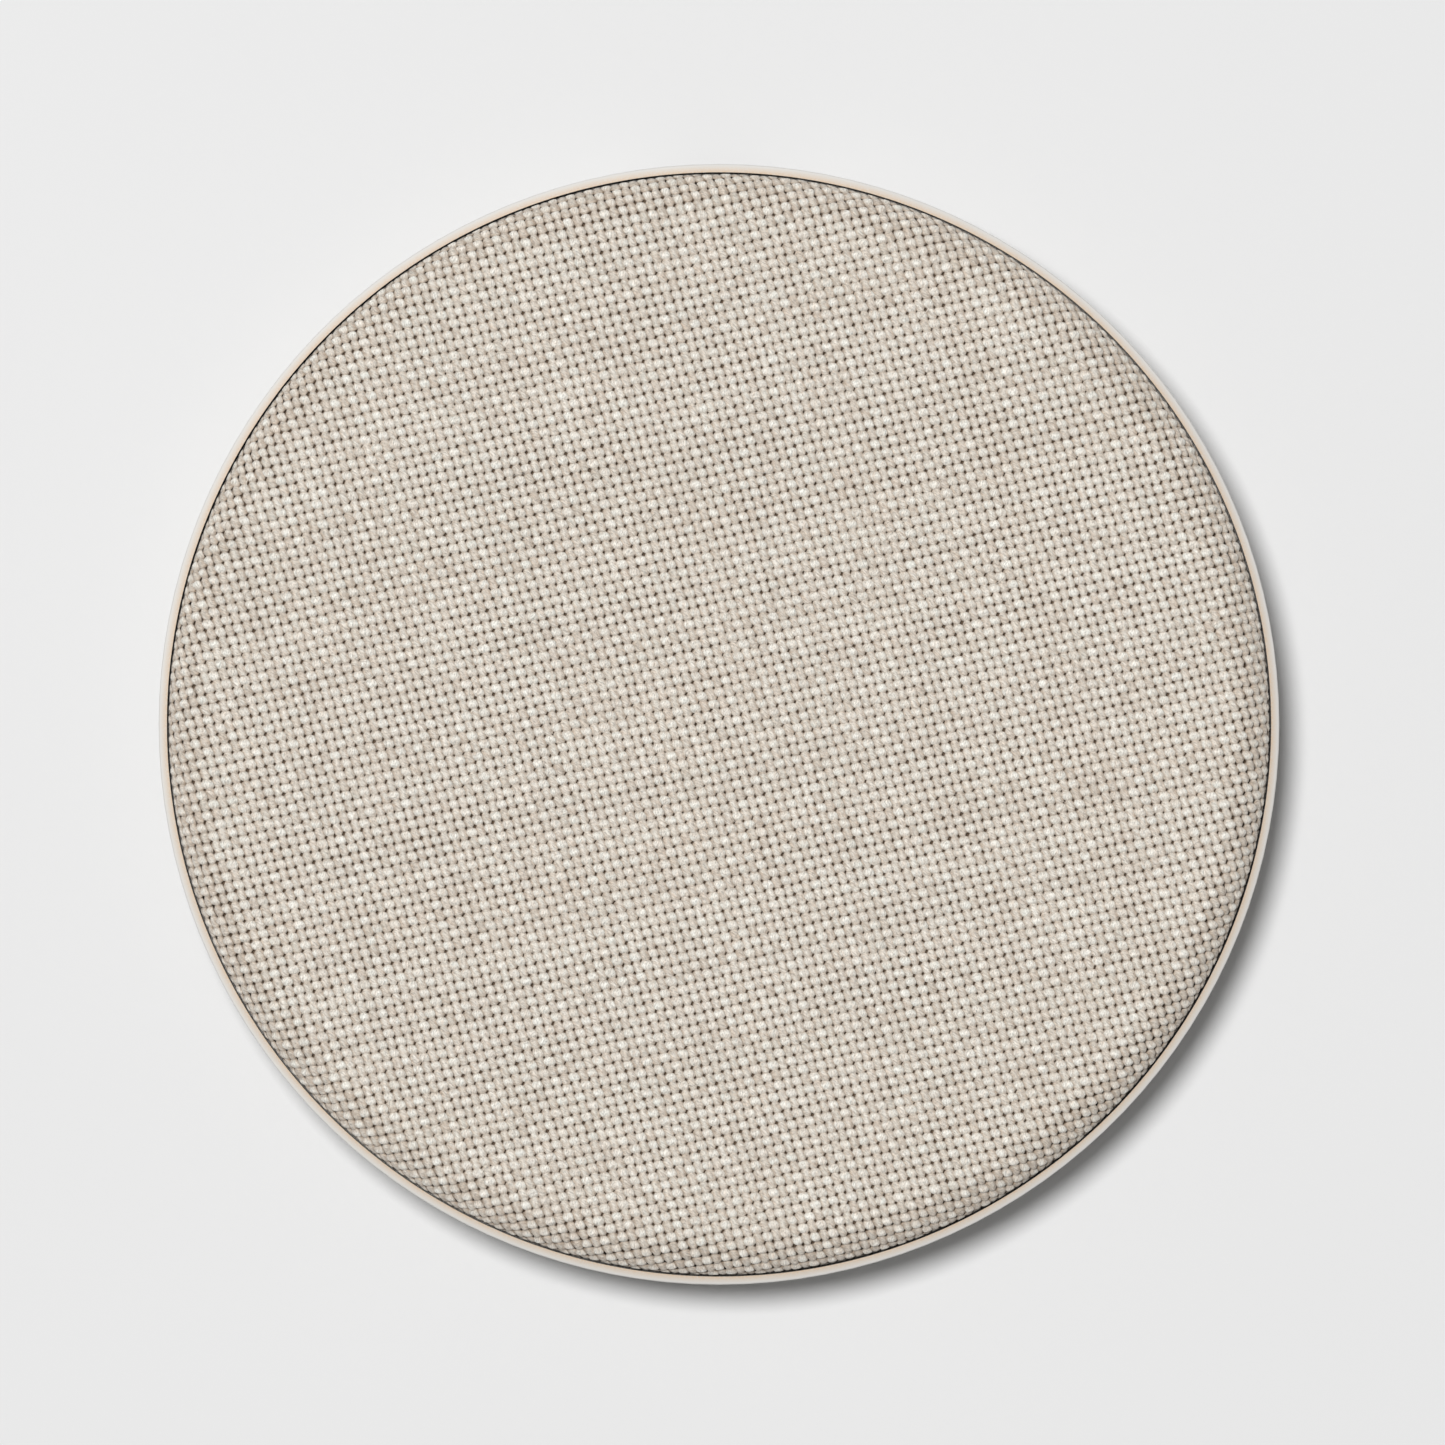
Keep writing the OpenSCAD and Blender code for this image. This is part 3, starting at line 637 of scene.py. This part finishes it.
looks = {
    "base_shell": plastic,
    "foot_ring": silicone,
    "foot_tape": film,
    "base_label": label,
    "top_carrier": carrier,
    "cover_adhesive": film,
    "hem_tape": film,
    "cap_screws": zinc,
    "coil_adhesive": film,
    "charging_coil": copper,
    "ferrite_adhesive": film,
    "ferrite_shield": ferrite,
    "foam_pad": open_foam(),
    "coil_leads": lead,
    "thermistor": epoxy,
    "circuit_board": circuit_laminate(),
    "board_screws": zinc,
    "usb_shell": nickel,
    "usb_tongue": polymer,
    "usb_contacts": gold,
    "controller_chip": chip,
    "power_chips": chip,
    "resonant_capacitors": ceramic,
    "filter_inductor": ferrite,
    "small_components": ceramic,
    "status_led": led,
    "light_pipe": frosted_clear(),
}
for node, material in looks.items():
    dress(node, material)

# Painted shade: a dark brown sheet under the weave, for the shade in its holes
ground_shade_look = grained(
    "painted_shade_ground", (0.10, 0.065, 0.04), (0.17, 0.115, 0.075), (0.8, 0.95), (2500, 2500, 2500), 300, 0.03)
ground = dark_ground_sheet(ground_shade_look)
cut_r = flat_r + roll_length + TUCK_DEPTH
draws = np.random.default_rng(7)
# The colour of the painted shade in the weave's crevices and on the roll
crevice_shade = (0.34, 0.245, 0.165)
warp_look = yarn_material(
    "warp_yarn", (0.885, 0.865, 0.80), (0.70, 0.60, 0.505), (0.74, 0.76, 0.69), crevice_shade)
weft_look = yarn_material(
    "weft_yarn", (0.87, 0.835, 0.765), (0.58, 0.48, 0.39), (0.62, 0.63, 0.56), crevice_shade)
yarns = yarn_set(WARP, WEFT, cut_r, draws, warp_look) + yarn_set(WEFT, WARP, cut_r, draws, weft_look)
yarns.append(stray_fibres(warp_look))

for piece in [ground, *yarns]:
    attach(piece, BODY)
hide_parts("fabric_cover")


# ---------------------------------------------------------------- floor, light and camera

FLOOR_W = 12.0
# One broad light, high up on the far left, and a faint even light from all round
KEY_DISTANCE = 2.6
KEY_HEIGHT_ANGLE = math.radians(76)
KEY_SIDE = math.radians(132)
KEY_W = 0.76
KEY_POWER = 57.5
AIR_STRENGTH = 0.18


def soft_light(name, place, size, power):
    """A round lamp, turned to face the origin."""
    lamp = bpy.data.lights.new(name, "AREA")
    lamp.shape = "DISK"
    lamp.size = size
    lamp.energy = power
    holder = bpy.data.objects.new(name, lamp)
    holder.location = place
    holder.rotation_euler = (-holder.location).to_track_quat("-Z", "Y").to_euler()
    bpy.context.scene.collection.objects.link(holder)


def studio_floor():
    """A wide sheet of white paper."""
    material, tree, main = shader("floor_paper")
    paper = noise(tree, 9.0, 2.0)
    white = mix_colour(tree, paper, rgba((0.80, 0.80, 0.80)), rgba((0.83, 0.83, 0.83)))
    plug(tree, main.inputs["Base Color"], white)
    plug(tree, main.inputs["Roughness"], scaled(tree, paper, 0.8, 0.9))
    plug(tree, main.inputs["Normal"], bump(tree, noise(tree, 900.0), 0.01 * MM, 0.2))
    half = FLOOR_W / 2
    corners = [(-half, -half, 0), (half, -half, 0), (half, half, 0), (-half, half, 0)]
    return mesh_piece("studio_floor", corners, [(0, 1, 2, 3)], material, False)


studio_floor()

key_place = KEY_DISTANCE * np.array([
    math.cos(KEY_HEIGHT_ANGLE) * math.cos(KEY_SIDE),
    math.cos(KEY_HEIGHT_ANGLE) * math.sin(KEY_SIDE),
    math.sin(KEY_HEIGHT_ANGLE),
])
soft_light("key_light", key_place, KEY_W, KEY_POWER)

world = bpy.data.worlds.new("studio_air")
bpy.context.scene.world = world
world.use_nodes = True
world.node_tree.nodes["Background"].inputs["Color"].default_value = (1, 1, 1, 1)
world.node_tree.nodes["Background"].inputs["Strength"].default_value = AIR_STRENGTH

bpy.context.scene.view_settings.view_transform = "Standard"

# The camera looks straight down from far off, with the disc a little left of and below the middle.
# The field and the shifts are shares of the rim's diameter.
FIELD = 1.289
OFF_RIGHT = 0.0031
OFF_UP = 0.0017
CAMERA_HEIGHT = 1.5
SENSOR = 36.0
lens = bpy.data.cameras.new("camera")
lens.sensor_width = SENSOR
lens.lens = SENSOR * (CAMERA_HEIGHT - rim_z) / (FIELD * 2 * rim_r)
lens.clip_start, lens.clip_end = 0.01, 50
camera = bpy.data.objects.new("camera", lens)
camera.location = (OFF_RIGHT * 2 * rim_r, OFF_UP * 2 * rim_r, CAMERA_HEIGHT)
bpy.context.scene.collection.objects.link(camera)
bpy.context.scene.camera = camera

bpy.context.view_layer.update()
